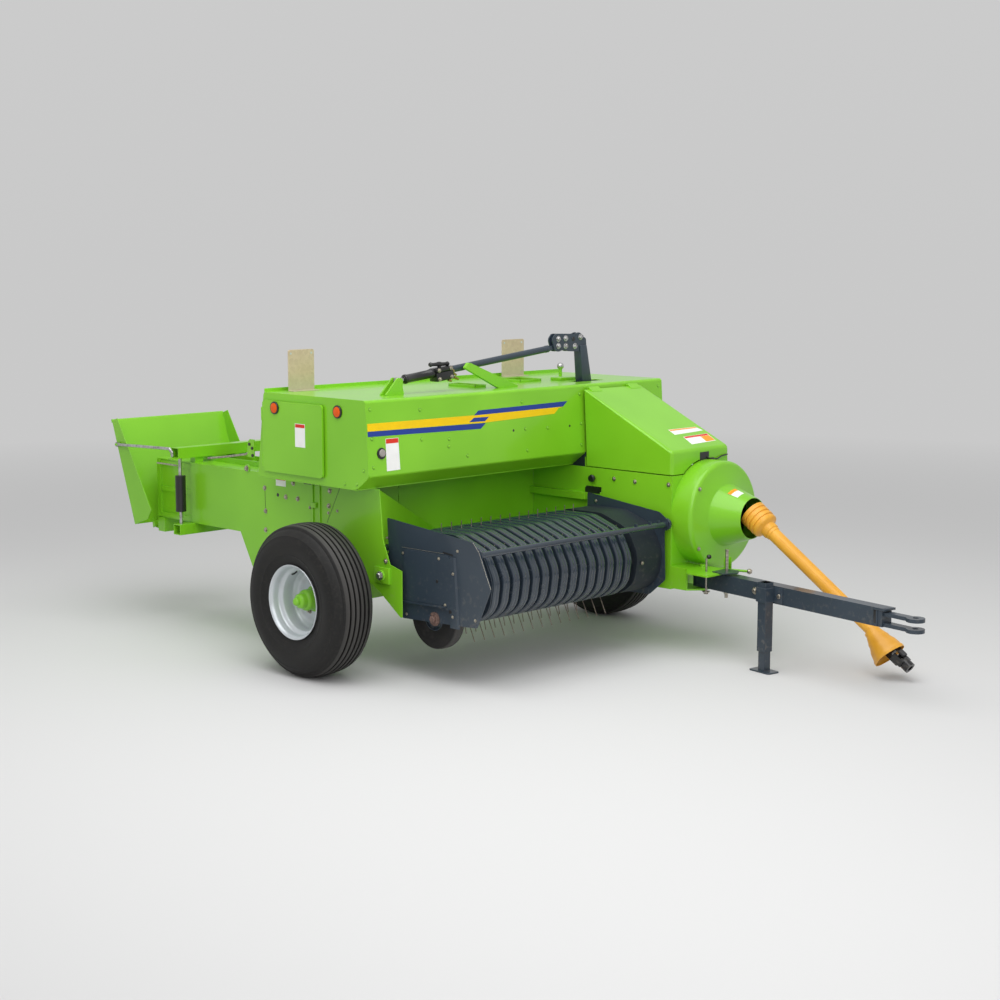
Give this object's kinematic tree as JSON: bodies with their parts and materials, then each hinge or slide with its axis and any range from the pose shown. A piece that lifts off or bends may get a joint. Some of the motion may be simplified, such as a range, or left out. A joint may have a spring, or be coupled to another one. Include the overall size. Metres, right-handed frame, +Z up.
{
  "type": "hay baler",
  "caption": "Towed small square hay baler with tined pickup, crosswise feeder, bale chamber with plunger and folding chute, gear housing, driveline, swinging drawbar and parking jack.",
  "frame": {"origin": "on the ground under the middle of the machine's overall box", "axes": "+X forward along the direction of travel, +Y the machine's left, +Z up"},
  "size_m": [4.9432, 2.765, 1.827],
  "materials": {
    "green_paint": "gloss",
    "slate_paint": "gloss",
    "black_paint": "satin",
    "tyre": "matte",
    "silver_paint": "satin",
    "yellow_plastic": "satin",
    "galvanised": "satin",
    "cast_iron": "satin",
    "bright_steel": "satin"
  },
  "bodies": {
    "root": {"axle": "green_paint", "cross_frame": "green_paint", "chamber_right_side": "green_paint", "chamber_left_side": "green_paint", "chamber_floor": "green_paint", "needle_guard": "green_paint", "tension_rails": "green_paint", "chamber_top_rails": "green_paint", "rear_cross_member": "green_paint", "upper_yoke": "green_paint", "lower_yoke": "green_paint", "tension_springs": "black_paint", "hood_right_end": "green_paint", "hood_left_end": "green_paint", "hood_rear": "green_paint", "hood_top": "green_paint", "feeder_roof": "green_paint", "upright_plates": "galvanised", "feeder_back_wall": "green_paint", "feeder_floor": "green_paint", "crop_wing": "green_paint", "housing_right_side": "green_paint", "housing_shell": "green_paint", "gearbox": "cast_iron", "hood_front": "green_paint", "flywheel_cover": "green_paint", "drawbar_mount": "green_paint", "rocker_stand": "green_paint", "feeder_brackets": "green_paint"},
    "wheel_right": {"tyre_right": "tyre", "rim_right": "silver_paint", "hub_right": "green_paint"},
    "wheel_left": {"tyre_left": "tyre", "rim_left": "silver_paint", "hub_left": "green_paint"},
    "pickup": {"pickup_right_plate": "slate_paint", "pickup_left_plate": "slate_paint", "pickup_bands": "slate_paint", "pickup_drive_case": "slate_paint", "pickup_front_bar": "slate_paint"},
    "plunger": {"plunger": "green_paint"},
    "tine_reel": {"tine_reel": "slate_paint"},
    "gauge_wheel": {"gauge_wheel": "tyre"},
    "drawbar": {"drawbar": "slate_paint", "jack_sleeve": "slate_paint"},
    "jack_leg": {"jack_leg": "slate_paint"},
    "gear_cover": {"gear_cover": "green_paint"},
    "twine_door": {"twine_door": "green_paint"},
    "bale_chute": {"bale_chute": "green_paint"},
    "chute_stay": {"chute_stay": "bright_steel"},
    "flywheel": {"flywheel": "cast_iron"},
    "driveline_upper": {"driveline_upper_guard": "yellow_plastic"},
    "driveline_lower": {"driveline_lower_guard": "yellow_plastic"},
    "driveline_yoke": {"driveline_outer_yoke": "cast_iron"},
    "feeder_rocker": {"feeder_rocker": "slate_paint"},
    "feeder_ram": {"feeder_ram": "black_paint"},
    "feeder_rod": {"feeder_rod": "slate_paint"}
  },
  "joints": [
    {"name": "wheel_right_spin", "type": "hinge", "parent": "root", "child": "wheel_right", "pos_m": [-0.29733, -1.2375, 0.424], "axis": [0, 1, 0], "continuous": true},
    {"name": "wheel_left_spin", "type": "hinge", "parent": "root", "child": "wheel_left", "pos_m": [-0.29733, 1.1825, 0.424], "axis": [0, 1, 0], "continuous": true},
    {"name": "plunger_stroke", "type": "slide", "parent": "root", "child": "plunger", "axis": [-1, 0, 0], "range_m": [0, 0.7]},
    {"name": "pickup_lift", "type": "hinge", "parent": "root", "child": "pickup", "pos_m": [-0.19733, -0.0275, 0.62], "axis": [0, 1, 0], "range_deg": [0, 18]},
    {"name": "reel_spin", "type": "hinge", "parent": "pickup", "child": "tine_reel", "pos_m": [0.30267, -0.0275, 0.52], "axis": [0, 1, 0], "continuous": true},
    {"name": "gauge_wheel_spin", "type": "hinge", "parent": "pickup", "child": "gauge_wheel", "pos_m": [0.31767, -0.8525, 0.362], "axis": [0, 1, 0], "continuous": true},
    {"name": "drawbar_swing", "type": "hinge", "parent": "root", "child": "drawbar", "pos_m": [0.85267, 0.7585, 0.435], "axis": [0, 0, 1], "range_deg": [-8, 9]},
    {"name": "jack_leg_slide", "type": "slide", "parent": "drawbar", "child": "jack_leg", "axis": [0, 0, 1], "range_m": [0, 0.1]},
    {"name": "gear_cover_tilt", "type": "hinge", "parent": "root", "child": "gear_cover", "pos_m": [0.01867, 0.8975, 1.5], "axis": [0, -1, 0], "range_deg": [0, 70]},
    {"name": "twine_door_swing", "type": "hinge", "parent": "root", "child": "twine_door", "pos_m": [-0.87733, -1.0995, 1.277], "axis": [0, 0, -1], "range_deg": [0, 100]},
    {"name": "chute_fold", "type": "hinge", "parent": "root", "child": "bale_chute", "pos_m": [-2.22233, -0.7215, 0.6], "axis": [0, -1, 0], "range_deg": [0, 70.5]},
    {"name": "chute_stay_swing", "type": "hinge", "parent": "bale_chute", "child": "chute_stay", "pos_m": [-2.37951, -1.0985, 1.10977], "axis": [0, -1, 0], "range_deg": [-42.5, 0]},
    {"name": "flywheel_spin", "type": "hinge", "parent": "root", "child": "flywheel", "pos_m": [1.10267, 0.9475, 0.784], "axis": [1, 0, 0], "continuous": true},
    {"name": "driveline_lift", "type": "hinge", "parent": "root", "child": "driveline_upper", "pos_m": [1.10267, 0.9475, 0.784], "axis": [0, -1, 0], "range_deg": [0, 40]},
    {"name": "driveline_slide", "type": "slide", "parent": "driveline_upper", "child": "driveline_lower", "axis": [0.8241, 0, -0.5664], "range_m": [-0.1, 0]},
    {"name": "driveline_yoke_spin", "type": "hinge", "parent": "driveline_lower", "child": "driveline_yoke", "pos_m": [2.10646, 0.9475, 0.09412], "axis": [0.8241, 0, -0.5664], "continuous": true},
    {"name": "feeder_rocker_swing", "type": "hinge", "parent": "root", "child": "feeder_rocker", "pos_m": [-0.19733, 0.9125, 1.25], "axis": [-1, 0, 0], "range_deg": [0, 10]},
    {"name": "feeder_ram_swing", "type": "hinge", "parent": "root", "child": "feeder_ram", "pos_m": [-0.19733, -0.6775, 1.599], "axis": [1, 0, 0], "range_deg": [0, 1.4]},
    {"name": "feeder_rod_slide", "type": "slide", "parent": "feeder_ram", "child": "feeder_rod", "axis": [0, 0.9941, 0.1084], "range_m": [0, 0.096]}
  ],
  "couplings": [
    {"joint": "chute_stay_swing", "follows": "chute_fold", "ratio": -0.6},
    {"joint": "driveline_yoke_spin", "follows": "flywheel_spin", "ratio": 1},
    {"joint": "feeder_ram_swing", "follows": "feeder_rocker_swing", "ratio": 0.12502},
    {"joint": "feeder_rod_slide", "follows": "feeder_rocker_swing", "m_per_rad": 0.53794}
  ]
}
